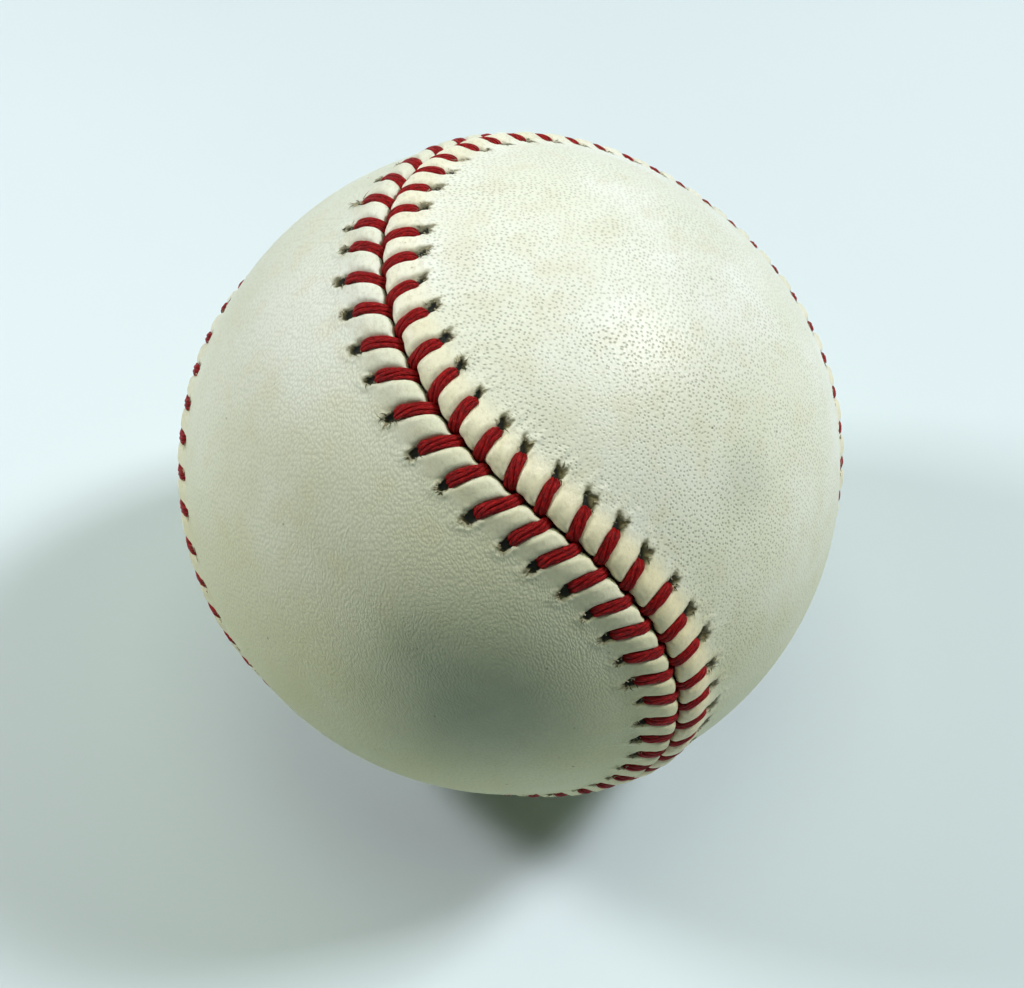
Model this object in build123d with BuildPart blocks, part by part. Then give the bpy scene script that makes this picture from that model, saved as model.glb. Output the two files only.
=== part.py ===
import os
from math import cos, pi, sin, sqrt, tan

from build123d import *

os.makedirs("parts", exist_ok=True)

# Pill: a cork ball in two rubber layers
cork_diameter = 20.6
black_rubber_wall = 3.7
red_rubber_wall = 2.67
washer_height = 1.2

# Windings, each a wall of yarn over the one before
grey_wool_wall = 14.66
white_wool_wall = 1.77
outer_wool_wall = 2.27
cotton_wall = 0.51

# Cover leather, lacing holes and thread
leather_wall = 1.25
stitch_count = 108
thread_diameter = 0.85
hole_reach = 4.25
hole_clearance = 0.08
gap_clearance = 0.06
run_clearance = 0.24
leg_clearance = 0.06
bend_slack = 0.05
bed_depth_share = 0.65
edge_bevel_share = 0.45
lip_slope = 1.5
lip_margin = 0.1
cut_margin = 1.0

# Shape of the closed seam on the ball, as shares of its plain waves
sway_share = 0.301
fifth_wave_share = -0.045
sixth_wave_share = -0.076

# Attitude in which the ball lies
lying_roll = 138.73
lying_pitch = 32.75
lying_yaw = -95.76

# Stations along one stitch pitch, as shares of it
right_hole_share = 0.45
left_hole_share = 1 - right_hole_share
right_dive_share = 0.77
left_dive_share = 1.09
tail_shares = (0.35, 0.65)

# Steps along the seam
seam_steps = 2160
ring_points = 108
tangent_step = 0.0001

# Radii from the centre outwards
cork_radius = cork_diameter / 2
black_radius = cork_radius + black_rubber_wall
pill_radius = black_radius + red_rubber_wall
grey_wool_radius = pill_radius + grey_wool_wall
white_wool_radius = grey_wool_radius + white_wool_wall
outer_wool_radius = white_wool_radius + outer_wool_wall
cotton_radius = outer_wool_radius + cotton_wall
ball_radius = cotton_radius + leather_wall

# Thread bed below the cover and lip above it
thread_radius = thread_diameter / 2
bed_depth = bed_depth_share * cotton_wall
lip_lift = thread_diameter + run_clearance - bed_depth
bend_radius = thread_radius + bend_slack
gap_half = thread_radius + gap_clearance
hole_radius = thread_radius + hole_clearance
lip_flat = hole_reach + hole_radius + lip_margin
lip_foot = lip_flat + lip_slope
bevel_width = 2 * gap_half
bevel_drop = edge_bevel_share * bevel_width
bed_edge = hole_reach + hole_radius
bed_foot = bed_edge + bed_depth
run_radius = cotton_radius - bed_depth + thread_radius + run_clearance / 2
leg_radius = ball_radius + lip_lift + thread_radius + leg_clearance
lying = Plane(Location((0, 0, 0), (lying_roll, lying_pitch, lying_yaw)))
poles = Plane((0, 0, 0), x_dir=lying.z_dir, z_dir=lying.x_dir)


def seam_direction(turn):
    # Unit direction from the centre to the seam
    round_share = 1 - sway_share
    x = round_share * cos(turn) + sway_share * cos(3 * turn) + fifth_wave_share * cos(5 * turn)
    y = round_share * sin(turn) - sway_share * sin(3 * turn) + fifth_wave_share * sin(5 * turn)
    z = 2 * sqrt(round_share * sway_share) * sin(2 * turn) + sixth_wave_share * sin(6 * turn)
    return Vector(x, y, z).normalized()


turns = [2 * pi * step / seam_steps for step in range(seam_steps + 1)]
lengths = [0.0]
for start, end in zip(turns, turns[1:]):
    lengths.append(lengths[-1] + (seam_direction(end) - seam_direction(start)).length)


def seam_turn(share):
    # Turn of the curve at a share of its length
    wanted = (share % 1) * lengths[-1]
    low = 0
    high = seam_steps
    while high - low > 1:
        middle = (low + high) // 2
        if lengths[middle] <= wanted:
            low = middle
        else:
            high = middle
    part_way = (wanted - lengths[low]) / (lengths[high] - lengths[low])
    return turns[low] + part_way * (turns[high] - turns[low])


def seam_place(share, across, radius):
    # Point at a share of the seam's length, a reach across it and a radius
    turn = seam_turn(share)
    outward = seam_direction(turn)
    along = (seam_direction(turn + tangent_step) - seam_direction(turn - tangent_step)).normalized()
    sideways = outward.cross(along)
    lean = across / ball_radius
    return lying.from_local_coords((outward * cos(lean) + sideways * sin(lean)) * radius)


def seam_edge(across, radius):
    # Closed curve that follows the seam
    shares = [point / ring_points for point in range(ring_points + 1)]
    points = [seam_place(share, across, radius) for share in shares[:-1]]
    return Edge.make_spline(points, periodic=True, parameters=shares)


def seam_wall(across, inner_radius, outer_radius):
    # Radial wall that follows the seam
    return Face.make_surface_from_curves(seam_edge(across, inner_radius), seam_edge(across, outer_radius))


def seam_ring(profile):
    # Closed ring along the seam with a profile of (reach across, radius) corners
    edges = [seam_edge(across, radius) for across, radius in profile]
    pairs = zip(edges, edges[1:] + edges[:1])
    return Solid(Shell([Face.make_surface_from_curves(first, second) for first, second in pairs]))


def mirrored(half_profile):
    # Whole profile from the corners on one side of the seam
    return [(-across, radius) for across, radius in reversed(half_profile)] + half_profile


def lacing(first_side):
    # Corners of one needle's route, changing sides at each station
    corners = []
    for station in range(stitch_count):
        side = first_side if station % 2 == 0 else -first_side
        hole_share = right_hole_share if side > 0 else left_hole_share
        dive_share = right_dive_share if side > 0 else left_dive_share
        hole = (station + hole_share) / stitch_count
        dive = (station + dive_share) / stitch_count
        corners.append(seam_place(hole, side * hole_reach, run_radius))
        corners.append(seam_place(hole, side * hole_reach, leg_radius))
        corners.append(seam_place(dive, 0, leg_radius))
        corners.append(seam_place(dive, 0, run_radius))
    closing_run = corners[0] - corners[-1]
    tail = corners[-1] + closing_run * tail_shares[0]
    head = corners[-1] + closing_run * tail_shares[1]
    return [head] + corners + [tail]


def rounded_route(corners):
    # Lines and tangent arcs through the corners
    edges = []
    last = corners[0]
    for before, corner, after in zip(corners, corners[1:], corners[2:]):
        back = (before - corner).normalized()
        ahead = (after - corner).normalized()
        half_angle = back.get_angle(ahead) * pi / 360
        start = corner + back * (bend_radius / tan(half_angle))
        end = corner + ahead * (bend_radius / tan(half_angle))
        middle = corner + (back + ahead).normalized() * (bend_radius / sin(half_angle) - bend_radius)
        edges.append(Edge.make_line(last, start))
        edges.append(Edge.make_three_point_arc(start, middle, end))
        last = end
    edges.append(Edge.make_line(last, corners[-1]))
    return Wire(edges)


# Cork nucleus
with BuildPart() as cork_nucleus:
    Sphere(cork_radius)
cork_nucleus.part.label = "cork_nucleus"
export_step(cork_nucleus.part, "parts/cork_nucleus.step")

# Upper black rubber shell
with BuildPart() as upper_black_shell:
    Sphere(black_radius)
    Sphere(cork_radius, mode=Mode.SUBTRACT)
    split(bisect_by=Plane.XY.offset(washer_height / 2), keep=Keep.TOP)
upper_black_shell.part.label = "upper_black_shell"
export_step(upper_black_shell.part, "parts/upper_black_shell.step")

# Lower black rubber shell
with BuildPart() as lower_black_shell:
    Sphere(black_radius)
    Sphere(cork_radius, mode=Mode.SUBTRACT)
    split(bisect_by=Plane.XY.offset(-washer_height / 2), keep=Keep.BOTTOM)
lower_black_shell.part.label = "lower_black_shell"
export_step(lower_black_shell.part, "parts/lower_black_shell.step")

# Red rubber washer between the black shells
with BuildPart() as rubber_washer:
    Sphere(black_radius)
    Sphere(cork_radius, mode=Mode.SUBTRACT)
    split(bisect_by=Plane.XY.offset(washer_height / 2), keep=Keep.BOTTOM)
    split(bisect_by=Plane.XY.offset(-washer_height / 2), keep=Keep.TOP)
rubber_washer.part.label = "rubber_washer"
export_step(rubber_washer.part, "parts/rubber_washer.step")

# Right red rubber shell
with BuildPart() as right_red_shell:
    Sphere(pill_radius)
    Sphere(black_radius, mode=Mode.SUBTRACT)
    split(bisect_by=Plane.YZ, keep=Keep.TOP)
right_red_shell.part.label = "right_red_shell"
export_step(right_red_shell.part, "parts/right_red_shell.step")

# Left red rubber shell
with BuildPart() as left_red_shell:
    Sphere(pill_radius)
    Sphere(black_radius, mode=Mode.SUBTRACT)
    split(bisect_by=Plane.YZ, keep=Keep.BOTTOM)
left_red_shell.part.label = "left_red_shell"
export_step(left_red_shell.part, "parts/left_red_shell.step")

# Four-ply grey wool winding
with BuildPart() as grey_wool_winding:
    Sphere(grey_wool_radius)
    Sphere(pill_radius, mode=Mode.SUBTRACT)
grey_wool_winding.part.label = "grey_wool_winding"
export_step(grey_wool_winding.part, "parts/grey_wool_winding.step")

# Three-ply white wool winding
with BuildPart() as white_wool_winding:
    Sphere(white_wool_radius)
    Sphere(grey_wool_radius, mode=Mode.SUBTRACT)
white_wool_winding.part.label = "white_wool_winding"
export_step(white_wool_winding.part, "parts/white_wool_winding.step")

# Three-ply outer wool winding
with BuildPart() as outer_wool_winding:
    Sphere(outer_wool_radius)
    Sphere(white_wool_radius, mode=Mode.SUBTRACT)
outer_wool_winding.part.label = "outer_wool_winding"
export_step(outer_wool_winding.part, "parts/outer_wool_winding.step")

# Cotton finishing winding, pressed in along the seam by the thread
bed_half_profile = [
    (bed_edge / 2, cotton_radius - bed_depth),
    (bed_edge, cotton_radius - bed_depth),
    (bed_foot, cotton_radius + cut_margin),
]
bed_floor = [(0, cotton_radius - bed_depth)]
bed_crown = [(0, cotton_radius + cut_margin)]
with BuildPart() as cotton_winding:
    with Locations(poles):
        Sphere(cotton_radius)
    add(seam_ring(mirrored(bed_half_profile)[:3] + bed_floor + bed_half_profile + bed_crown), mode=Mode.SUBTRACT)
    Sphere(outer_wool_radius, mode=Mode.SUBTRACT)
cotton_winding.part.label = "cotton_winding"
export_step(cotton_winding.part, "parts/cotton_winding.step")

# Whole cover, lifted along the seam where the thread runs below it
lip_half_profile = [
    (bevel_width, ball_radius + lip_lift),
    (lip_flat, ball_radius + lip_lift),
    (lip_foot, ball_radius - bed_depth),
    (lip_foot, ball_radius - leather_wall / 2),
]
tunnel_half_profile = [
    (lip_flat, cotton_radius + lip_lift),
    (lip_foot, cotton_radius - bed_depth),
    (lip_foot, cotton_radius - cut_margin),
]
lip_bevel = [(0, ball_radius + lip_lift - bevel_drop)]
tunnel_crown = [(0, cotton_radius + lip_lift)]
wall_radii = (outer_wool_radius, ball_radius + leather_wall + lip_lift)
hole_depth = 2 * (leather_wall + lip_lift + cut_margin)
with BuildPart() as whole_cover:
    with Locations(poles):
        Sphere(ball_radius)
    add(seam_ring(mirrored(lip_half_profile)[:4] + lip_bevel + lip_half_profile))
    with Locations(poles):
        Sphere(cotton_radius, mode=Mode.SUBTRACT)
    add(seam_ring(mirrored(tunnel_half_profile)[:3] + tunnel_crown + tunnel_half_profile), mode=Mode.SUBTRACT)

# Right cover panel with its row of lacing holes
right_holes = [
    seam_place((station + right_hole_share) / stitch_count, hole_reach, cotton_radius)
    for station in range(stitch_count)
]
with BuildPart() as right_cover_panel:
    add(whole_cover.part)
    split(bisect_by=seam_wall(gap_half, *wall_radii), keep=Keep.BOTTOM)
    with Locations([Plane(place, z_dir=place) for place in right_holes]):
        Cylinder(hole_radius, hole_depth, mode=Mode.SUBTRACT)
right_cover_panel.part.label = "right_cover_panel"
export_step(right_cover_panel.part, "parts/right_cover_panel.step")

# Left cover panel with its row of lacing holes
left_holes = [
    seam_place((station + left_hole_share) / stitch_count, -hole_reach, cotton_radius)
    for station in range(stitch_count)
]
with BuildPart() as left_cover_panel:
    add(whole_cover.part)
    split(bisect_by=seam_wall(-gap_half, *wall_radii), keep=Keep.TOP)
    with Locations([Plane(place, z_dir=place) for place in left_holes]):
        Cylinder(hole_radius, hole_depth, mode=Mode.SUBTRACT)
left_cover_panel.part.label = "left_cover_panel"
export_step(left_cover_panel.part, "parts/left_cover_panel.step")

# First needle's thread
first_route = rounded_route(lacing(1))
with BuildPart() as first_thread:
    with BuildSketch(Plane(first_route @ 0, z_dir=first_route % 0)):
        Circle(thread_radius)
    sweep(path=first_route)
first_thread.part.label = "first_thread"
export_step(first_thread.part, "parts/first_thread.step")

# Second needle's thread
second_route = rounded_route(lacing(-1))
with BuildPart() as second_thread:
    with BuildSketch(Plane(second_route @ 0, z_dir=second_route % 0)):
        Circle(thread_radius)
    sweep(path=second_route)
second_thread.part.label = "second_thread"
export_step(second_thread.part, "parts/second_thread.step")
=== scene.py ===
import math
import random

import bpy
import numpy as np
from mathutils import Matrix, Vector, geometry, noise


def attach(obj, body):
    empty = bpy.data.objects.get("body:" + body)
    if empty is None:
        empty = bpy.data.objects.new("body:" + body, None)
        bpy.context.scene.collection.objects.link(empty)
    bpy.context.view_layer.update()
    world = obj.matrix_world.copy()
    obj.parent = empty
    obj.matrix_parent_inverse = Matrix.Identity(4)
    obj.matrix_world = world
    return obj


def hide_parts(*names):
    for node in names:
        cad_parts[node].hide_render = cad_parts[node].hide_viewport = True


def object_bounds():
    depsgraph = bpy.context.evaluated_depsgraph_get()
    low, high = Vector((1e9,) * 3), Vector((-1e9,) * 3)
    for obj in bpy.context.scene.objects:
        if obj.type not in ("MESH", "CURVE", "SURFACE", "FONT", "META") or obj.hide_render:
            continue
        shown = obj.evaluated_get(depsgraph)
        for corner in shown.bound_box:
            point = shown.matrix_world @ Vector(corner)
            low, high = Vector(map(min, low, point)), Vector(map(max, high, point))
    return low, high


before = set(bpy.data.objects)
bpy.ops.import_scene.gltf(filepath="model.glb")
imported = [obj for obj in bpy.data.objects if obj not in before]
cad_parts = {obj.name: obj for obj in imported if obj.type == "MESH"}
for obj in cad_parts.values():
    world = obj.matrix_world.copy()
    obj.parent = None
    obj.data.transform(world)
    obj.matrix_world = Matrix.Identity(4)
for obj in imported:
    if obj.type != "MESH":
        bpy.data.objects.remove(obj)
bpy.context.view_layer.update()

MM = 0.001

# Cork nucleus: a ball of cork and rubber granules pressed with a binder.
# It is the innermost piece, moulded first and then cased in rubber.


class Shade:
    """A shader socket that can be used in sums; node() adds any other node."""

    def __init__(self, tree, socket=None):
        self.tree = tree
        self.socket = socket

    def node(self, kind, settings=None, values=None, out=0):
        """Adds a node: its settings first, then the value or the link of each socket."""
        made = self.tree.nodes.new(kind)
        for name, value in (settings or {}).items():
            setattr(made, name, value)
        for name, value in (values or {}).items():
            if isinstance(value, Shade):
                self.tree.links.new(value.socket, made.inputs[name])
            else:
                made.inputs[name].default_value = value
        return Shade(self.tree, made.outputs[out])

    def math(self, operation, first, second=0.0):
        return self.node("ShaderNodeMath", {"operation": operation}, {0: first, 1: second})

    def measure(self, operation, other=(0, 0, 0)):
        """A number from this vector, such as its distance from another or its share along it."""
        return self.node("ShaderNodeVectorMath", {"operation": operation}, {0: self, 1: other}, out=1)

    def mix(self, share, first, second):
        """Colour that goes from the first to the second by a share."""
        first, second = ((*colour, 1) if isinstance(colour, tuple) else colour for colour in (first, second))
        return self.node("ShaderNodeMix", {"data_type": "RGBA"}, {0: share, 6: first, 7: second}, out=2)

    def ramp(self, low, high):
        """Share from 0 to 1 as this value goes from low to high."""
        return self.node("ShaderNodeMapRange", {"interpolation_type": "SMOOTHSTEP"}, {0: self, 1: low, 2: high})

    def __add__(self, other):
        return self.math("ADD", self, other)

    __radd__ = __add__

    def __mul__(self, other):
        return self.math("MULTIPLY", self, other)

    def __sub__(self, other):
        return self.math("SUBTRACT", self, other)

    def __rsub__(self, other):
        return self.math("SUBTRACT", other, self)

    def __pow__(self, other):
        return self.math("POWER", self, other)


def finish(name, **constants):
    """A new material: its Shade, its surface shader and the object coordinates in millimetres."""
    material = bpy.data.materials.new(name)
    material.use_nodes = True
    tree = material.node_tree
    surface = tree.nodes["Principled BSDF"]
    for socket, value in constants.items():
        surface.inputs[socket.replace("_", " ")].default_value = value
    shade = Shade(tree)
    place = shade.node("ShaderNodeTexCoord", out=3)
    place = shade.node("ShaderNodeVectorMath", {"operation": "SCALE"}, {0: place, 3: 1 / MM})
    return material, shade, surface, place


def dress(shade, surface, colour, roughness, height=None, depth=0.05):
    """Feeds the surface; height is in shares of depth, which is in millimetres."""
    shade.tree.links.new(colour.socket, surface.inputs["Base Color"])
    shade.tree.links.new(roughness.socket, surface.inputs["Roughness"])
    if height is not None:
        bump = shade.node("ShaderNodeBump", None, {"Strength": 1.0, "Distance": depth * MM, "Height": height})
        shade.tree.links.new(bump.socket, surface.inputs["Normal"])


def wear(node, material):
    """Gives a carried-over node its material."""
    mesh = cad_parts[node].data
    mesh.materials.clear()
    mesh.materials.append(material)


def speckle(place, scale, detail=4.0, rough=0.55):
    """Noise at a scale of features per millimetre."""
    return place.node("ShaderNodeTexNoise", None,
                      {"Vector": place, "Scale": scale, "Detail": detail, "Roughness": rough})


def cells(place, scale, randomness=1.0, out=0, **settings):
    """Distances, or other values, in cells at a scale of cells per millimetre."""
    return place.node("ShaderNodeTexVoronoi", settings,
                      {"Vector": place, "Scale": scale, "Randomness": randomness}, out)


GRANULES = 0.9  # for each millimetre
cork, shade, surface, place = finish("pressed_cork", IOR=1.45)
granule_tone = shade.node("ShaderNodeSeparateColor", None, {0: cells(place, GRANULES, out=1)})
granule_edge = cells(place, GRANULES, feature="DISTANCE_TO_EDGE")
binder = 1 - granule_edge.ramp(0.0, 0.12)
cork_colour = shade.mix(granule_tone, (0.30, 0.17, 0.08), (0.56, 0.37, 0.20))
cork_colour = shade.mix(binder * 0.7, cork_colour, (0.10, 0.06, 0.04))
cork_height = granule_edge.ramp(0.0, 0.2) + speckle(place, 4.0) * 0.5
dress(shade, surface, cork_colour, speckle(place, 2.0) * 0.2 + 0.7, cork_height, 0.25)
wear("cork_nucleus", cork)

# Black rubber shells: two moulded half shells of hard black rubber, closed over the cork.
# Their rims meet on the washer, and the mould leaves a dull, slightly pitted skin.
black_rubber, shade, surface, place = finish("black_rubber", IOR=1.5)
bloom = speckle(place, 0.35, 5.0)
black_colour = shade.mix(bloom.ramp(0.35, 0.75), (0.016, 0.016, 0.017), (0.045, 0.044, 0.042))
dress(shade, surface, black_colour, bloom * 0.25 + 0.5, speckle(place, 5.0, 3.0), 0.04)
for node in ("upper_black_shell", "lower_black_shell"):
    wear(node, black_rubber)

# Rubber washer and red shells: the washer is a red ring glued between the black rims.
# Two red half shells are then pressed over the black ones and cured, which makes the pill.
red_rubber, shade, surface, place = finish("red_rubber", IOR=1.5)
bloom = speckle(place, 0.4, 5.0)
red_rubber_colour = shade.mix(bloom.ramp(0.3, 0.75), (0.27, 0.030, 0.022), (0.40, 0.085, 0.065))
dress(shade, surface, red_rubber_colour, bloom * 0.2 + 0.52, speckle(place, 4.0, 3.0), 0.04)
for node in ("rubber_washer", "right_red_shell", "left_red_shell"):
    wear(node, red_rubber)

# Yarn windings: grey four-ply wool, white three-ply wool, then grey three-ply wool.
# A machine winds each under tension along great circles while the ball turns,
# so belts of yarn cross on all sides.
BELTS = 17
BELT_STEP = 5  # order in which the belts climb from the waist to the top
BELT_TURN = 2.4  # radians that the ball turns between belts
BELT_HALF = 6.0  # half of a belt's width, in millimetres


def wound_yarn(name, dark, pale, turn_width, depth):
    """Belts of yarn, each along its own great circle and over the belts wound before it."""
    material, shade, surface, place = finish(name, IOR=1.4)
    wander = speckle(place, 0.10, 1.0) * 2.0
    fibre = speckle(place, 6.0, 4.0, 0.7)
    height, belt_edge_shade = None, 0.0
    for belt in range(BELTS):
        rise = (belt * BELT_STEP % BELTS + 0.5) / BELTS
        level, angle = math.sqrt(1 - rise * rise), BELT_TURN * belt
        pole = (level * math.cos(angle), level * math.sin(angle), rise)
        apart = place.measure("DOT_PRODUCT", pole) + wander
        turns = shade.math("ABSOLUTE", shade.math("SINE", apart * (math.pi / turn_width)))
        if height is None:
            # The first belt's turns cover the whole ball, so no place is left bare.
            height = turns
            continue
        aside = shade.math("ABSOLUTE", apart - 1.0)
        over = 1 - aside.ramp(BELT_HALF - 0.2, BELT_HALF + 0.1)
        beside = (1 - aside.ramp(BELT_HALF, BELT_HALF + 0.9)) * 0.6
        belt_edge_shade = (belt_edge_shade + (beside - belt_edge_shade) * beside) * (1 - over)
        height = height + (turns ** 0.7 - height) * over
    # Painted shade: the yarn is darker where its turns sink between each other, and on the yarn just beside the
    # foot of each belt.
    colour = shade.mix(height.ramp(0.0, 0.9), dark, pale)
    colour = shade.mix(fibre.ramp(0.45, 0.8) * 0.45, colour, pale)
    colour = shade.mix(belt_edge_shade, colour, dark)
    dress(shade, surface, colour, fibre * 0.15 + 0.8, height + fibre * 0.3, depth)
    return material


for node, yarn, dark, pale, turn_width, depth in (
        ("grey_wool_winding", "grey_four_ply_wool", (0.08, 0.08, 0.085), (0.36, 0.36, 0.35), 1.6, 0.6),
        ("white_wool_winding", "white_three_ply_wool", (0.32, 0.30, 0.26), (0.80, 0.78, 0.72), 1.3, 0.5),
        ("outer_wool_winding", "grey_three_ply_wool", (0.07, 0.075, 0.08), (0.33, 0.34, 0.34), 1.3, 0.5)):
    wear(node, wound_yarn(yarn, dark, pale, turn_width, depth))

# Cotton finishing winding: a thin coat of fine white yarn that gives the core a firm, even skin.
# It is dipped in cement before the cover goes on, and the lacing presses it in along the seam.
wear("cotton_winding", wound_yarn("white_cotton", (0.42, 0.40, 0.34), (0.86, 0.84, 0.78), 0.6, 0.2))

# Cover panels: two figure-eight panels of white hide, cut damp, stretched over the core and laced
# edge to edge. The thread under each edge lifts it, the legs pull it down between, and the lips
# puff out like small pillows.
BALL = 37.13  # radius of the plain leather; this and the other sizes are in millimetres
LEATHER = 1.25
STITCHES = 108
FINENESS = 24  # mesh columns for each stitch
COLUMNS = FINENESS * STITCHES
BAND = 7.4  # reach of the fine mesh from the seam
BOW = 0.055  # how far a leg bows aside, in stitches
# For the right panel (1) and the left one (-1): reach of the holes from the seam, the places of a
# stitch's hole and dive along the seam in stitches, the lean of the holes and the height of the pillows.
LEG_REACH = {1: 3.10, -1: 3.42}
HOLE_AT = {1: 0.54, -1: 0.64}
DIVE_AT = {1: 0.77, -1: 1.09}
SLOT_LEAN = {1: 0.0, -1: 0.40}
PUFF = {1: 0.38, -1: 0.28}
LIP_HEIGHT, LIP_MIDDLE, LIP_WIDTH = 0.54, 1.55, 2.3
HOLE_DEPTH = 0.36
FILL_POINTS = 24000  # spread over the whole ball
PLAIN_MARKS = (0.0, 0.0, 30.0, 0.0)  # of a place far from the seam
dice = random.Random(11)
lying = np.array(Matrix.Rotation(math.radians(138.73), 3, "X")
                 @ Matrix.Rotation(math.radians(32.75), 3, "Y")
                 @ Matrix.Rotation(math.radians(-95.76), 3, "Z"))


def unit(vectors):
    return vectors / np.linalg.norm(vectors, axis=-1, keepdims=True)


def seam_direction(turn):
    """Unit directions from the centre to the seam, as the ball lies."""
    sway, fifth, sixth = 0.301, -0.045, -0.076
    plain = 1 - sway
    way = np.stack([
        plain * np.cos(turn) + sway * np.cos(3 * turn) + fifth * np.cos(5 * turn),
        plain * np.sin(turn) - sway * np.sin(3 * turn) + fifth * np.sin(5 * turn),
        2 * math.sqrt(plain * sway) * np.sin(2 * turn) + sixth * np.sin(6 * turn)], axis=-1)
    return unit(way) @ lying.T


fine_turns = np.linspace(0, 2 * math.pi, 20001)
fine_steps = np.linalg.norm(np.diff(seam_direction(fine_turns), axis=0), axis=1)
fine_length = np.concatenate([[0], np.cumsum(fine_steps)])
PITCH = fine_length[-1] * BALL / STITCHES


def seam_frame(station):
    """Outward, along and across directions at stations counted in stitches."""
    share = (np.asarray(station, float) / STITCHES) % 1.0
    turn = np.interp(share * fine_length[-1], fine_length, fine_turns)
    outward = seam_direction(turn)
    along = unit(seam_direction(turn + 1e-4) - seam_direction(turn - 1e-4))
    return outward, along, np.cross(outward, along)


def seam_point(station, across, radius):
    """Points at stations, reaches across the seam and radii, in millimetres."""
    outward, _, sideways = seam_frame(station)
    lean = (np.asarray(across, float) / BALL)[..., None]
    return (outward * np.cos(lean) + sideways * np.sin(lean)) * np.asarray(radius, float)[..., None]


def smooth(low, high, value):
    """Smooth step from 0 at low to 1 at high."""
    share = np.clip((value - low) / (high - low), 0, 1)
    return share * share * (3 - 2 * share)


def hump(value, middle, width):
    """Rounded rise to 1 at its middle."""
    return np.exp(-((value - middle) / width) ** 2)


# Each stitch's hole and the place where its leg dives into the seam, a little uneven as sewn by hand.
holes = {side: np.array([(k + HOLE_AT[side] + dice.gauss(0, 0.035), LEG_REACH[side] + dice.gauss(0, 0.14))
                         for k in range(STITCHES)]) for side in (1, -1)}
dives = {side: np.array([k + DIVE_AT[side] + dice.gauss(0, 0.03) for k in range(STITCHES)])
         for side in (1, -1)}
tears = {side: np.array([dice.uniform(0.75, 1.25) for _ in range(STITCHES)]) for side in (1, -1)}


def leg_offset(side, station, across):
    """Distance along the seam, in millimetres, from the nearest leg on that side, and the leg's number."""
    best = np.full(station.shape, 99.0)
    which = np.zeros(station.shape, int)
    hole_at, reach = holes[side].T
    for step in (-2, -1, 0, 1):
        k = np.floor(station).astype(int) + step
        lap = np.floor_divide(k, STITCHES) * STITCHES
        k = k % STITCHES
        share = np.clip(across / reach[k], 0, 1.6)
        bow = 4 * BOW * np.clip(share * (1 - share), 0, 1)
        line = dives[side][k] + (hole_at[k] - dives[side][k]) * share - bow + lap
        off = (station - line) * PITCH
        nearer = np.abs(off) < np.abs(best)
        best = np.where(nearer, off, best)
        which = np.where(nearer, k, which)
    return best, which


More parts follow.
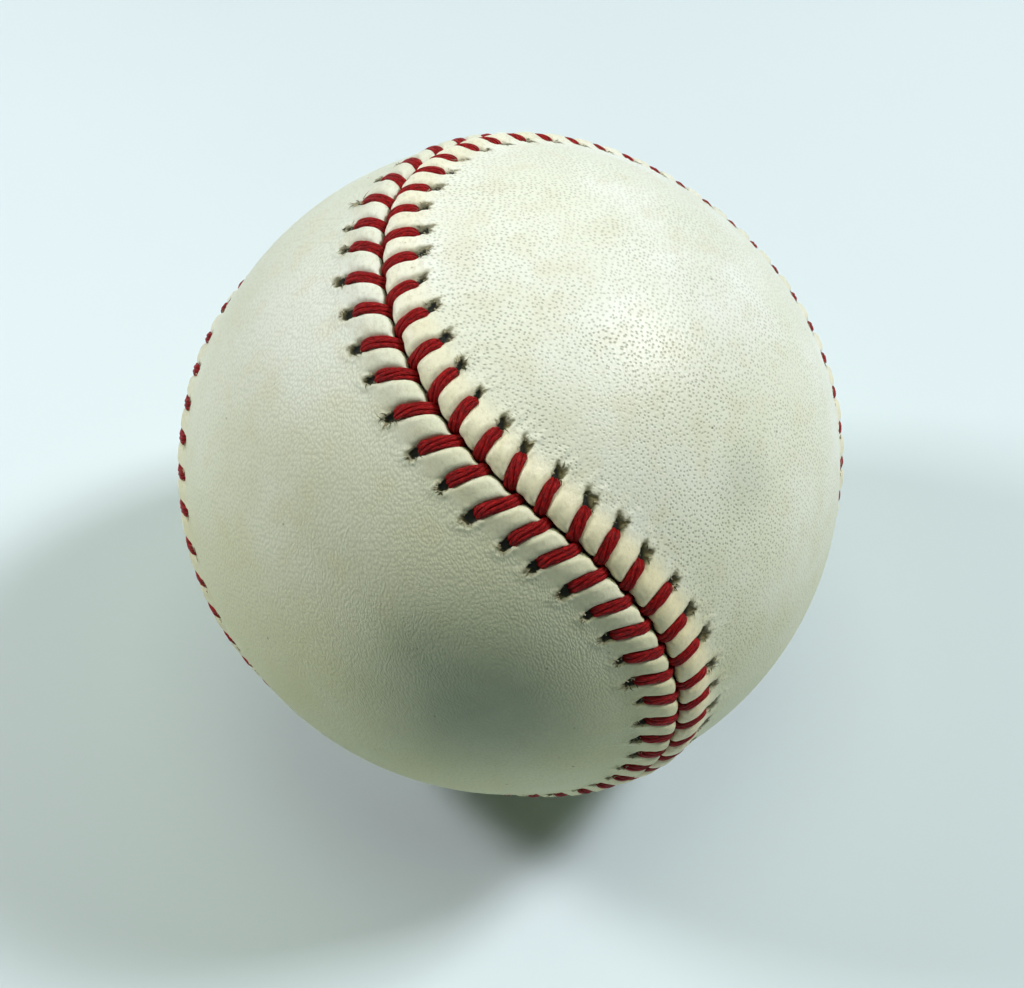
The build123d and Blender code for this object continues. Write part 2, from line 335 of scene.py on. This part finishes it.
def panel_band(side):
    """A panel's lip and holes along the seam: its cut edge, its points and the marks for its finish."""
    station = np.arange(COLUMNS) / FINENESS
    rows = np.concatenate([np.linspace(0, 0.16, 12)[:-1], np.linspace(0.16, 1.0, 40)])
    own, _ = leg_offset(side, station, np.zeros_like(station))
    other, _ = leg_offset(-side, station, np.zeros_like(station))
    edge = 0.07 + 0.46 * hump(own, 0, 0.66) + 0.22 * hump(other, 0, 0.55)
    edge += 0.04 * np.array([noise.noise((s * 2.3, side * 7.0, 0.0)) for s in station])
    across = edge[None, :] + (BAND - edge[None, :]) * rows[:, None]
    grid = np.broadcast_to(station[None, :], across.shape)

    def rumple(along_scale, across_scale, seed):
        """Uneven values from -1 to 1 over the band."""
        values = [noise.noise((x * along_scale, y * across_scale, side * seed))
                  for x, y in zip(grid.ravel(), across.ravel())]
        return np.array(values).reshape(across.shape)

    # The lip rises over the thread below it, puffs out between the legs and is pulled down under each.
    off, which = leg_offset(side, grid, across)
    beyond = across - holes[side][which, 1]
    near_leg = np.exp(-(off / 0.66) ** 4)
    on_leg = 1 - smooth(0.0, 1.3, beyond)
    fades = 1 - smooth(5.0, BAND, across)
    lip = LIP_HEIGHT * hump(across, LIP_MIDDLE, LIP_WIDTH) * (1 - smooth(5.6, BAND, across))
    puff = PUFF[side] * smooth(0.40, 1.35, np.abs(off)) * hump(across, 1.8, 1.6)
    height = lip + puff - 0.46 * near_leg * on_leg * smooth(-0.2, 1.2, across)
    from_edge = np.clip((across - edge[None, :]) / 0.62, 0, 1)
    height -= 0.70 * (1 - np.sqrt(1 - (1 - from_edge) ** 2))
    # The lacing hole: the right panel's are torn open into two horns, the left panel's stay blunt slots.
    # Towards the back the right panel's are smaller, each with a smear of soil beside it.
    # The wall share set below is the part of each hole's torn wall that faces the lamps; the finish paints it
    # lit and the rest of the hole as shade.
    torn = tears[side][which]
    if side > 0:
        back = seam_point(*holes[side].T, np.ones(STITCHES))[:, 1]
        smeared = smooth(-0.60, -0.15, back)[which]
        half = torn * (0.38 + 0.24 * smooth(0.2, 1.5, beyond)) * (1 - 0.18 * smeared)
        far = 1.30 * np.sqrt(torn) + 0.60 * np.clip(np.abs(off) / 0.60, 0, 1) ** 2
        lit_wall = smooth(-0.15, 0.85, 0.8 * (beyond - 0.45) + 0.8 * off) * (1 - 0.75 * smeared)
    else:
        half, far = 0.47 * torn, 1.45 * np.sqrt(torn)
        lit_wall = 0.5 * smooth(0.8, 1.5, beyond)
    length = np.where(beyond < 0.5, (0.5 - beyond) / 0.75, (beyond - 0.5) / (far - 0.5))
    lean = SLOT_LEAN[side] * np.clip(beyond, 0, 1.6)
    slit = (np.abs((off - lean) / half) ** 3 + np.abs(length) ** 3) ** (1 / 3)
    slit += 0.26 * rumple(11.0, 2.6, 3.0) + 0.18 * rumple(23.0, 5.5, 4.0)
    hole = 1 - smooth(0.82, 1.08, slit)
    height += 0.08 * hump(slit, 1.6, 0.45) * smooth(-0.6, 0.4, beyond) * (1 + rumple(9.0, 3.0, 6.0))
    height += (0.035 * rumple(3.1, 0.8, 5.0) + 0.018 * rumple(9.0, 2.2, 8.0)) * fades
    height += (-HOLE_DEPTH + 0.22 * lit_wall - height) * hole
    # Soil round each hole and on its rim. Inside the hole the mark holds instead the share of the torn wall
    # that faces the lamps, painted light; the rest of the hole is painted shade.
    soil_and_shade = np.array([dice.uniform(0.35, 1.3) for _ in range(STITCHES)])[which]
    if side > 0:
        dirt_and_lit_wall = 0.30 * hump(off, -0.2, 0.90) * hump(beyond, 1.6, 0.90) * (1 - smeared)
        dirt_and_lit_wall += 0.62 * smeared * hump(off, -0.55, 0.55) * hump(beyond, 0.85, 1.15)
    else:
        dirt_and_lit_wall = 0.35 * hump(off, 0, 0.60) * hump(beyond, 1.25, 0.70)
    dirt_and_lit_wall = dirt_and_lit_wall * soil_and_shade * (1 + 0.9 * rumple(7.0, 1.7, 9.0)) * (1 - smooth(6.6, BAND, across))
    dirt_and_lit_wall = np.clip(dirt_and_lit_wall + 0.60 * (1 - smooth(1.0, 1.55, slit)), 0, 1)
    dirt_and_lit_wall += (lit_wall - dirt_and_lit_wall) * hole
    marks = np.stack([hole, near_leg * on_leg, across, dirt_and_lit_wall], axis=-1)
    return edge, seam_point(grid, side * across, BALL + height), marks


def hide_points(side):
    """Directions spread evenly over the hide inside a panel's band."""
    number = np.arange(FILL_POINTS)
    z = 1 - 2 * (number + 0.5) / FILL_POINTS
    ring = np.sqrt(1 - z * z)
    angle = math.pi * (3 - math.sqrt(5)) * number
    spread = np.stack([ring * np.cos(angle), ring * np.sin(angle), z], axis=1)
    outward, _, sideways = seam_frame(np.arange(0, STITCHES, 0.125))
    nearest = np.argmax(spread @ outward.T, axis=1)
    lean = np.einsum("ij,ij->i", spread, sideways[nearest]) * side
    apart = np.arccos(np.clip(np.einsum("ij,ij->i", spread, outward[nearest]), -1, 1)) * BALL
    return spread[(lean > 0) & (apart > BAND + 0.45)]


def fill(side, rim, points):
    """Triangles, seen from outside, between a closed rim and the points inside it."""
    middle, right = lying[:, 2] * side, lying[:, 0]
    up = np.cross(middle, right)
    both = np.concatenate([rim, points])
    # The hide is flattened from the far side of the ball, which keeps its triangles well shaped.
    way = unit(both)
    flat = np.stack([way @ right, way @ up], axis=1) / (1 + way @ middle)[:, None]
    border = [(i, (i + 1) % len(rim)) for i in range(len(rim))]
    result = geometry.delaunay_2d_cdt([Vector(p) for p in flat], border, [], 1, 1e-9)
    origin = [o[0] for o in result[3]]
    faces = []
    for face in result[2]:
        face = [origin[i] for i in face]
        a, b, c = both[face[:3]]
        faces.append(face if np.dot(np.cross(b - a, c - a), a + b + c) > 0 else face[::-1])
    return faces


def mesh_piece(name, points, faces, is_smooth):
    """A new piece from points in millimetres."""
    mesh = bpy.data.meshes.new(name)
    mesh.from_pydata((points * MM).tolist(), [], faces)
    mesh.polygons.foreach_set("use_smooth", [is_smooth] * len(mesh.polygons))
    mesh.update()
    piece = bpy.data.objects.new(name, mesh)
    bpy.context.collection.objects.link(piece)
    return piece


def panel_mesh(name, side):
    """A closed panel: the fine band, the plain rounded hide inside it, and the flesh side below."""
    edge, outer, marks = panel_band(side)
    inside = hide_points(side)
    faces = []

    def strip(first, second):
        """Faces between two rows of points, which start at these numbers."""
        for i in range(COLUMNS):
            j = (i + 1) % COLUMNS
            faces.append([first + i, first + j, second + j, second + i][::side])

    for row in range(len(outer) - 1):
        strip(row * COLUMNS, (row + 1) * COLUMNS)
    # The band's last row and the points inside it follow each other, so the fill's numbers run on.
    rim_start = (len(outer) - 1) * COLUMNS
    faces += [[rim_start + i for i in face] for face in fill(side, outer[-1], inside * BALL)]
    # The flesh side, with fewer rows, joins the grain side round the cut edge.
    flesh_start = rim_start + COLUMNS + len(inside)
    flesh_base = BALL - LEATHER + 0.03
    flesh_rows = []
    for share in (0.0, 0.25, 0.5, 1.0):
        reach_in = edge + 0.1 + (BAND - edge - 0.1) * share
        lift = 0.76 * (1 - smooth(4.4, 6.6, reach_in)) - (0.05 if share == 0 else 0.0)
        flesh_rows.append(seam_point(np.arange(COLUMNS) / FINENESS, side * reach_in, flesh_base + lift))
    sparse = inside[::5] * flesh_base
    strip(flesh_start, 0)
    for row in range(len(flesh_rows) - 1):
        strip(flesh_start + (row + 1) * COLUMNS, flesh_start + row * COLUMNS)
    last = flesh_start + (len(flesh_rows) - 1) * COLUMNS
    faces += [[last + i for i in face[::-1]] for face in fill(side, flesh_rows[-1], sparse)]
    points = np.concatenate([outer.reshape(-1, 3), inside * BALL, *flesh_rows, sparse])
    piece = mesh_piece(name, points, faces, True)
    values = np.tile(PLAIN_MARKS, (len(points), 1))
    values[:COLUMNS * len(outer)] = marks.reshape(-1, 4)
    for index, mark in enumerate(("hole", "pressed", "across", "dirt_and_lit_wall")):
        layer = piece.data.attributes.new(mark, "FLOAT", "POINT")
        layer.data.foreach_set("value", values[:, index].astype(np.float32))
    return piece


YELLOWED = (0.68, 0.62, 0.40)
SHADE_BELOW = (0.575, 0.570, 0.235)
SHADE_BETWEEN_PEBBLES = (0.42, 0.44, 0.33)
PORE = (0.26, 0.285, 0.18)
SPECK = (0.10, 0.09, 0.06)
GRIME_AND_SHADE = (0.240, 0.300, 0.220)
CREAM = (0.79, 0.725, 0.44)
CREASE_SHADE = (0.50, 0.46, 0.30)
SHADE_BESIDE_LEG = (0.30, 0.24, 0.15)
GAP_SHADE = (0.10, 0.09, 0.04)
TAN_SMEAR = (0.52, 0.48, 0.28)
OLIVE_SMEAR = (0.150, 0.142, 0.070)
HOLE_SHADE = (0.006, 0.007, 0.004)
TORN_WALL = (0.30, 0.265, 0.120)
# Smudges from hands and the ground, each with its middle, its reach in millimetres and its strength. The first
# and largest is painted shade as well as a smudge: it darkens the lower front, where neither lamp reaches.
SMUDGES_AND_SHADE = (((-3.2, -35.7, 9.0), 18.0, 0.71), ((-8.9, -33.2, 14.0), 7.0, 0.25), ((22.6, -19.1, 22.4), 6.0, 0.22),
           ((2.0, 30.0, -21.0), 14.0, 0.35), ((-24.0, 20.0, 19.0), 9.0, 0.22))
LOBE = math.radians(75)  # from a panel's middle to the middle of each lobe


def hide(name, side, pore_share, pebble_share, lip_cream, pale, dull, sheen, rough):
    """Aged white hide: pores and pebbles in rows, handling marks and dirt round the lacing holes, with painted
    shade in its hollows, in the holes and over the lower front.
    """
    material, shade, surface, place = finish(name, IOR=1.47, Specular_IOR_Level=sheen)
    hole, pressed, across, dirt_and_lit_wall = (shade.node("ShaderNodeAttribute", {"attribute_name": mark}, out=2)
                                   for mark in ("hole", "pressed", "across", "dirt_and_lit_wall"))
    heading = shade.node("ShaderNodeVectorMath", {"operation": "NORMALIZE"}, {0: place})

    def toward(direction):
        """How far a place lies in a direction, as a share of its distance from the centre."""
        return heading.measure("DOT_PRODUCT", tuple(direction))

    # Each lobe of the panel is laid flat round its middle, so that pores keep their size and rows.
    long_way, waist_way = (lying[:, 0] - lying[:, 1], lying[:, 0] + lying[:, 1])[::side]
    ahead = shade.math("ABSOLUTE", toward(long_way / math.sqrt(2)))
    outward = toward(lying[:, 2] * side)
    breadth = toward(waist_way / math.sqrt(2))
    near = ahead * math.sin(LOBE) + outward * math.cos(LOBE)
    spread = shade.math("SQRT", shade.math("DIVIDE", 2.0, near + 1.0)) * BALL
    from_lobe = (ahead * math.cos(LOBE) - outward * math.sin(LOBE)) * spread
    laid = shade.node("ShaderNodeCombineXYZ", None, {0: from_lobe, 1: breadth * spread})
    sway = speckle(place, 0.25, 2.0)
    aside = shade.node("ShaderNodeCombineXYZ", None, {0: sway * 1.2, 1: sway * -0.9})
    laid = shade.node("ShaderNodeMapping", None, {0: laid, 1: aside, 2: (0, 0, 0.5)})
    # Open pores off the lips, most of them on the side that faces up.
    off_lip = across.ramp(3.6, 5.2)
    patchy = speckle(place, 0.11, 3.0)
    pores = cells(laid, 2.08, 0.68, voronoi_dimensions="2D")
    pit = (1 - pores.ramp(0.05, 0.37)) * (patchy.ramp(0.30, 0.62) * 0.5 + 0.5) * off_lip
    pit = pit * (toward((0.145, -0.44, 0.887)).ramp(0.30, 0.95) * 0.6 + 0.4)
    # Pebbled grain, drawn out one way across the panel, and fine creases on the lips.
    grain = shade.node("ShaderNodeMapping", None, {0: laid, 2: (0, 0, -0.9)})
    grain = shade.node("ShaderNodeMapping", None, {0: grain, 3: (0.62, 1.15, 1.0)})
    pebble = 1 - cells(grain, 3.5, 0.85, voronoi_dimensions="2D").ramp(0.05, 0.75)
    drawn_out = shade.node("ShaderNodeMapping", None, {0: place, 3: (1.0, 0.6, 0.8)})
    creases = speckle(drawn_out, 2.3, 4.0, 0.70)
    # Clouded white, yellowed in spots, with pores, specks and smudges. Painted shade, uneven, makes it yellower
    # and darker towards the bottom front.
    clouds = speckle(place, 0.045, 4.0, 0.6)
    spots = speckle(place, 0.32, 2.0, 0.5)
    # Painted shade: yellower and darker towards the bottom front, which faces away from the lamps.
    soil_and_shade = toward((0.0, -0.60, -0.80)).ramp(-0.80, 0.60)
    colour = shade.mix(clouds.ramp(0.35, 0.68), dull, pale)
    colour = shade.mix(spots.ramp(0.48, 0.72) * 0.22, colour, YELLOWED)
    colour = shade.mix(soil_and_shade * (patchy * 0.6 + 0.55) * 0.78, colour, SHADE_BELOW)
    # Painted shade between the pebbles, where the grain sinks.
    colour = shade.mix((1 - pebble) * 0.32 * pebble_share * off_lip, colour, SHADE_BETWEEN_PEBBLES)
    colour = shade.mix(pit * 0.62 * pore_share, colour, PORE)
    colour = shade.mix((1 - cells(place, 0.28).ramp(0.022, 0.052)) * 0.70, colour, SPECK)
    # The first smudge is painted shade over a real smudge; the others are handling marks.
    for middle, reach, strength in SMUDGES_AND_SHADE:
        away = place.measure("DISTANCE", middle).ramp(0.0, reach)
        colour = shade.mix((1 - away) * (patchy * 0.8 + 0.6) * strength, colour, GRIME_AND_SHADE)
    # Cream lips, creamier towards the bottom front, which is partly painted shade; painted shade in the creases
    # on the lips, beside each leg where the lip is pulled down, and along the gap between the panels; smears
    # that start at each hole; and the slits, painted shade with painted light on the torn wall that faces the
    # lamps.
    colour = shade.mix((1 - across.ramp(2.9, 5.0)) * (soil_and_shade * 0.9 + 0.48) * lip_cream, colour, CREAM)
    # Painted shade in the creases, beside each leg and along the gap between the panels.
    colour = shade.mix((1 - creases.ramp(0.32, 0.56)) * (1 - off_lip) * 0.38, colour, CREASE_SHADE)
    colour = shade.mix(pressed * (1 - across.ramp(3.2, 4.2)) * 0.30, colour, SHADE_BESIDE_LEG)
    colour = shade.mix((1 - across.ramp(0.06, 0.26)) * 0.7, colour, GAP_SHADE)
    colour = shade.mix(dirt_and_lit_wall.ramp(0.05, 0.35) * 0.30, colour, TAN_SMEAR)
    colour = shade.mix(dirt_and_lit_wall.ramp(0.16, 0.80) * 0.86, colour, OLIVE_SMEAR)
    frayed = speckle(place, 2.6, 4.0, 0.7).ramp(0.46, 0.66) * 0.55
    # Painted shade in the slits, with painted light on the part of the torn wall that faces the lamps.
    slit = shade.mix(dirt_and_lit_wall.ramp(0.25, 1.0) * 0.75 + frayed * 0.15, HOLE_SHADE, TORN_WALL)
    colour = shade.mix(hole.ramp(0.10, 0.50), colour, slit)
    height = speckle(place, 4.0, 3.0, 0.6) * 0.22 + pebble * 0.40 * pebble_share * off_lip
    height = height + creases * (1 - off_lip) * 0.7 - pit * 0.60 * pore_share
    roughness = clouds * 0.16 + rough + pit * 0.2 + hole * 0.3
    dress(shade, surface, colour, roughness, height, 0.08)
    return material


# The left panel's colours are set darker than the right's; part of that is painted shade, as the left panel
# lies on the side away from the brighter lamp.
for side, name, looks in (
        (1, "right_cover_panel", dict(pore_share=1.0, pebble_share=0.35, lip_cream=0.80, sheen=0.42, rough=0.31,
                                      pale=(0.920, 0.962, 0.900), dull=(0.793, 0.825, 0.680))),
        (-1, "left_cover_panel", dict(pore_share=0.12, pebble_share=1.0, lip_cream=0.25, sheen=0.30, rough=0.40,
                                      pale=(0.800, 0.848, 0.765), dull=(0.698, 0.738, 0.590)))):
    piece = panel_mesh(name + "_hide", side)
    piece.data.materials.append(hide(name + "_leather", side, **looks))
    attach(piece, "root")
    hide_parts(name)

# Frayed hide: short fibres that the needle and the thread have pulled out of the torn lacing holes.
# They are loose ends of the panels' own leather, dark with handling, and lie over each hole's rim.
TUFT_CHANCE = 0.06
FIBRE_RINGS = 4


def frays(name, side):
    """Thin tapered fibres round every hole of one panel, with a thicker tuft at a few of them."""
    places, faces = [], []
    for k in range(STITCHES):
        hole_at, reach = holes[side][k]
        torn = tears[side][k]
        slope = (hole_at - dives[side][k]) / reach
        tuft = dice.random() < TUFT_CHANCE
        for _ in range(dice.randint(9, 13) if tuft else dice.randint(4, 8)):
            turn = dice.uniform(-0.4, math.pi + 0.4)
            length = dice.uniform(0.5, 0.95) if tuft else dice.uniform(0.25, 0.75)
            bend = dice.uniform(-0.9, 0.9)
            width = dice.uniform(0.045, 0.085)
            lift = dice.uniform(0.05, 0.45) if tuft else dice.uniform(-0.05, 0.25)
            # The fibre starts on the hole's rim.
            out = reach + 0.66 + 0.80 * math.sqrt(torn) * math.sin(turn)
            along = (hole_at + slope * (out - reach)) * PITCH + 0.42 * torn * math.cos(turn)
            along += SLOT_LEAN[side] * max(out - reach, 0)
            start = len(places)
            for ring in range(FIBRE_RINGS):
                share = ring / (FIBRE_RINGS - 1)
                heading = turn + bend * share
                half = width * (1 - 0.85 * share)
                for way, thick in ((-1, 0.0), (1, 0.0), (0, 1.2 * half)):
                    at = along + length * share * math.cos(heading) - way * half * math.sin(heading)
                    reach_out = out + length * share * math.sin(heading) + way * half * math.cos(heading)
                    rise = 0.07 + LIP_HEIGHT * hump(reach_out, LIP_MIDDLE, LIP_WIDTH)
                    rise += lift * length * share + thick
                    places.append((at / PITCH, side * reach_out, BALL + rise))
            rings = [[start + 3 * ring + corner for corner in range(3)][::-side] for ring in range(FIBRE_RINGS)]
            for first, second in zip(rings, rings[1:]):
                faces += [[first[i], first[i - 1], second[i - 1], second[i]] for i in range(3)]
            faces += [rings[0], rings[-1][::-1]]
    return mesh_piece(name, seam_point(*np.array(places).T), faces, False)


frayed, shade, surface, place = finish("frayed_hide", IOR=1.45, Specular_IOR_Level=0.2)
soil = speckle(place, 1.1, 3.0)
fray_colour = shade.mix(soil.ramp(0.38, 0.62), (0.055, 0.055, 0.028), (0.46, 0.42, 0.26))
dress(shade, surface, fray_colour, soil * 0.2 + 0.7)
for side, name in ((1, "right_frayed_fibres"), (-1, "left_frayed_fibres")):
    piece = frays(name, side)
    piece.data.materials.append(frayed)
    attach(piece, "root")

# Lacing: one waxed red thread with a needle on each end, sewn by hand through the two rows of holes.
# Each leg comes up a hole, lies over its lip, dives into the seam and goes under the other lip
# to the next hole.
STRANDS = 5
STRAND_SIDES = 7
STRAND_HALF = 0.27, 0.25  # across the flat thread and through it
STRAND_OFF = 0.41, 0.10  # from the thread's middle, in the same two directions
TWIST = 11.0  # length of one full twist
# A leg from below its hole to below the seam: share of its way along the seam, reach past the hole,
# height over the plain leather, and turn of the thread's flat side in degrees.
LEG = ((0.0, 0.25, -1.15, -90), (0.0, 0.20, -0.60, -85), (0.03, 0.06, -0.05, -55), (0.10, -0.36, 0.26, -30),
       (0.28, -1.10, 0.42, -12), (0.50, -1.95, 0.48, 0), (0.70, -2.80, 0.43, 10), (0.86, -3.45, 0.25, 30),
       (0.95, -3.88, -0.05, 55), (0.99, -4.10, -0.44, 75), (1.0, -4.25, -0.90, 90), (1.0, -4.30, -1.20, 120))
LEG_SPAN = 4.25  # reach at which the leg above meets the seam
RUN_DEPTH = 1.05  # of the thread below the other panel


def lacing_route(first_side):
    """Points and flat-side directions along one needle's thread."""
    places, normals = [], []
    for k in range(STITCHES):
        side = first_side if k % 2 == 0 else -first_side
        hole_at, reach = holes[side][k]
        dive_at = dives[side][k]
        dive, hole = seam_point([dive_at, hole_at], [0.0, side * reach], [BALL, BALL])
        leg = unit(dive - hole)
        outward = seam_frame([hole_at])[0][0]
        for share, past, rise, turn in LEG:
            at = hole_at + (dive_at - hole_at) * share - 4 * BOW * share * (1 - share)
            places.append((at, side * reach * (1 + past / LEG_SPAN), BALL + rise))
            turn = math.radians(turn)
            normals.append(outward * math.cos(turn) + leg * math.sin(turn))
        if k + 1 < STITCHES:
            # The run below the other panel, out of sight.
            ahead, far = holes[-side][k + 1]
            for share in (0.3, 0.7):
                places.append((dive_at + (ahead - dive_at) * share, -side * far * share, BALL - RUN_DEPTH))
                normals.append(-outward)
    return seam_point(*np.array(places).T), np.array(normals)


def through(keys, parts):
    """A smooth curve through keys, with parts steps between neighbours."""
    padded = np.concatenate([2 * keys[:1] - keys[1:2], keys, 2 * keys[-1:] - keys[-2:-1]])
    share = (np.arange(parts) / parts)[None, :, None]
    a, b, c, d = (padded[i:len(padded) - 3 + i][:, None, :] for i in range(4))
    curve = 0.5 * (2 * b + (c - a) * share + (2 * a - 5 * b + 4 * c - d) * share ** 2
                   + (3 * b - a - 3 * c + d) * share ** 3)
    return np.concatenate([curve.reshape(-1, keys.shape[1]), keys[-1:]])


def thread_mesh(name, first_side, seed):
    """One needle's thread as twisted strands, flattened where it lies on the leather."""
    keys, normals = lacing_route(first_side)
    line = through(keys, 2)
    flat = through(normals, 2)
    tangent = unit(np.gradient(line, axis=0))
    flat = unit(flat - tangent * np.einsum("ij,ij->i", flat, tangent)[:, None])
    broad = np.cross(tangent, flat)
    length = np.concatenate([[0], np.cumsum(np.linalg.norm(np.diff(line, axis=0), axis=1))])
    wander = np.array([noise.noise((s * 0.35, seed * 3.7, 0.0)) for s in length])
    swell = 1 + 0.07 * np.array([noise.noise((s * 0.9, seed * 9.1, 5.0)) for s in length])
    ring = np.arange(STRAND_SIDES) * 2 * math.pi / STRAND_SIDES
    tubes, faces, fibres = [], [], []
    for strand in range(STRANDS):
        angle = 2 * math.pi * strand / STRANDS + length * 2 * math.pi / TWIST + wander * 1.3
        aside = (STRAND_OFF[0] * swell * np.cos(angle))[:, None]
        aside = aside + STRAND_HALF[0] * swell[:, None] * np.cos(ring)
        above = (STRAND_OFF[1] * np.sin(angle))[:, None] + STRAND_HALF[1] * np.sin(ring)
        tube = line[:, None, :] + broad[:, None, :] * aside[..., None] + flat[:, None, :] * above[..., None]
        tubes.append(tube.reshape(-1, 3))
        # Places along and round the strand, which draw its fibres out lengthways.
        lie = np.broadcast_arrays(0.30 * length[:, None], 3.0 * strand + STRAND_HALF[0] * np.cos(ring)[None, :],
                                  0.235 * np.sin(ring)[None, :])
        fibres.append(np.stack(lie, axis=-1).reshape(-1, 3))
        start = strand * len(line) * STRAND_SIDES
        end = start + (len(line) - 1) * STRAND_SIDES
        for a in range(start, end, STRAND_SIDES):
            b = a + STRAND_SIDES
            for j in range(STRAND_SIDES):
                n = (j + 1) % STRAND_SIDES
                faces.append([a + j, b + j, b + n, a + n])
        faces.append([start + j for j in range(STRAND_SIDES)])
        faces.append([end + j for j in reversed(range(STRAND_SIDES))])
    piece = mesh_piece(name, np.concatenate(tubes), faces, True)
    layer = piece.data.attributes.new("fibre", "FLOAT_VECTOR", "POINT")
    layer.data.foreach_set("vector", np.concatenate(fibres).astype(np.float32).ravel())
    return piece


waxed_red, shade, surface, place = finish("waxed_red_thread", IOR=1.48, Specular_IOR_Level=0.12)
lie = shade.node("ShaderNodeAttribute", {"attribute_name": "fibre"}, out=1)
fibre = speckle(lie, 8.5, 4.0, 0.65)
lint = speckle(place, 2.2, 3.0, 0.6)
red = shade.mix(fibre.ramp(0.32, 0.68), (0.070, 0.0012, 0.0016), (0.415, 0.0085, 0.0090))
red = shade.mix(speckle(place, 5.0, 2.0).ramp(0.66, 0.76) * 0.30, red, (0.62, 0.20, 0.18))
dress(shade, surface, red, lint * 0.3 + 0.34, fibre + lint * 0.3, 0.12)
for name, first_side, seed in (("first_thread", 1, 1), ("second_thread", -1, 2)):
    piece = thread_mesh(name + "_strands", first_side, seed)
    piece.data.materials.append(waxed_red)
    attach(piece, "root")
    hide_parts(name)

# Floor: a plain pale table top, with soft lamps to the left and right of the ball and one overhead.
# The ball rests on its lowest point, and the pale table throws light back up under it.
PALE = (0.66, 0.80, 0.83)
FLOOR_HALF = 3000.0
FADE = 200, 450  # distances from the ball over which the table fades


def shows_around(shade):
    """1 for a ray that shows the pale surroundings, straight to the camera or by way of a mirror or glass."""
    camera, mirror, glass = (shade.node("ShaderNodeLightPath", out=f"Is {kind} Ray")
                             for kind in ("Camera", "Glossy", "Transmission"))
    return shade.math("MAXIMUM", shade.math("MAXIMUM", camera, mirror), glass)


low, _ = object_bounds()
corners = [(x * FLOOR_HALF, y * FLOOR_HALF, low[2] / MM) for x, y in ((-1, -1), (1, -1), (1, 1), (-1, 1))]
floor = mesh_piece("floor", np.array(corners), [(0, 1, 2, 3)], False)
table, shade, surface, place = finish("pale_table", IOR=1.4, Specular_IOR_Level=0.2)
mottle = speckle(place, 0.02, 3.0)
dress(shade, surface, shade.mix(mottle, (0.660, 0.765, 0.785), (0.685, 0.790, 0.810)), mottle * 0.1 + 0.7)
# Far from the ball the table fades into the pale surroundings, which are seen and mirrored but light nothing.
away = place.measure("LENGTH").ramp(*FADE)
glow = shade.node("ShaderNodeEmission", None, {0: (*PALE, 1), 1: 1.0})
lit = Shade(shade.tree, surface.outputs[0])
faded = shade.node("ShaderNodeMixShader", None, {0: away * shows_around(shade), 1: lit, 2: glow})
shade.tree.links.new(faded.socket, shade.tree.nodes["Material Output"].inputs[0])
floor.data.materials.append(table)


def lamp(name, azimuth, elevation, distance, size, power, colour):
    """A soft square lamp that faces the ball, with its distance and size in metres."""
    light = bpy.data.lights.new(name, "AREA")
    light.size = size
    light.energy = power
    light.color = colour
    holder = bpy.data.objects.new(name, light)
    a, e = math.radians(azimuth), math.radians(elevation)
    holder.location = Vector((math.sin(a) * math.cos(e), -math.cos(a) * math.cos(e), math.sin(e))) * distance
    holder.rotation_euler = holder.location.to_track_quat("Z", "Y").to_euler()
    bpy.context.collection.objects.link(holder)


lamp("right_lamp", 105, 49, distance=0.743, size=0.15, power=4.45, colour=(0.94, 0.925, 1.0))
lamp("left_lamp", -100, 37, distance=0.446, size=0.09, power=1.15, colour=(0.99, 0.95, 1.0))
lamp("top_lamp", 180, 88, distance=0.9, size=0.5, power=2.0, colour=(0.88, 1.0, 0.70))
world = bpy.data.worlds.new("studio")
bpy.context.scene.world = world
world.use_nodes = True
sky = Shade(world.node_tree)
dim = sky.node("ShaderNodeBackground", None, {0: (0.86, 0.94, 1.0, 1), 1: 0.02})
pale = sky.node("ShaderNodeBackground", None, {0: (*PALE, 1), 1: 1.0})
both = sky.node("ShaderNodeMixShader", None, {0: shows_around(sky), 1: dim, 2: pale})
world.node_tree.links.new(both.socket, world.node_tree.nodes["World Output"].inputs[0])

# Camera: high in front of the ball, five of its radii from its centre.
PHOTO_WIDTH = 1024
FOCAL_PIXELS = 1604.4
SHIFT_PIXELS = -0.66, -26.6
SENSOR = 36
camera = bpy.data.cameras.new("camera")
camera.sensor_width = SENSOR
camera.lens = SENSOR * FOCAL_PIXELS / PHOTO_WIDTH
camera.shift_x, camera.shift_y = (shift / PHOTO_WIDTH for shift in SHIFT_PIXELS)
camera.clip_start = 0.01
viewer = bpy.data.objects.new("camera", camera)
tilt = math.radians(52)
viewer.location = Vector((0, -math.cos(tilt), math.sin(tilt))) * (5.0 * BALL * MM)
viewer.rotation_euler = (math.radians(90) - tilt, 0, 0)
bpy.context.collection.objects.link(viewer)
bpy.context.scene.camera = viewer
bpy.context.scene.view_settings.view_transform = "Standard"
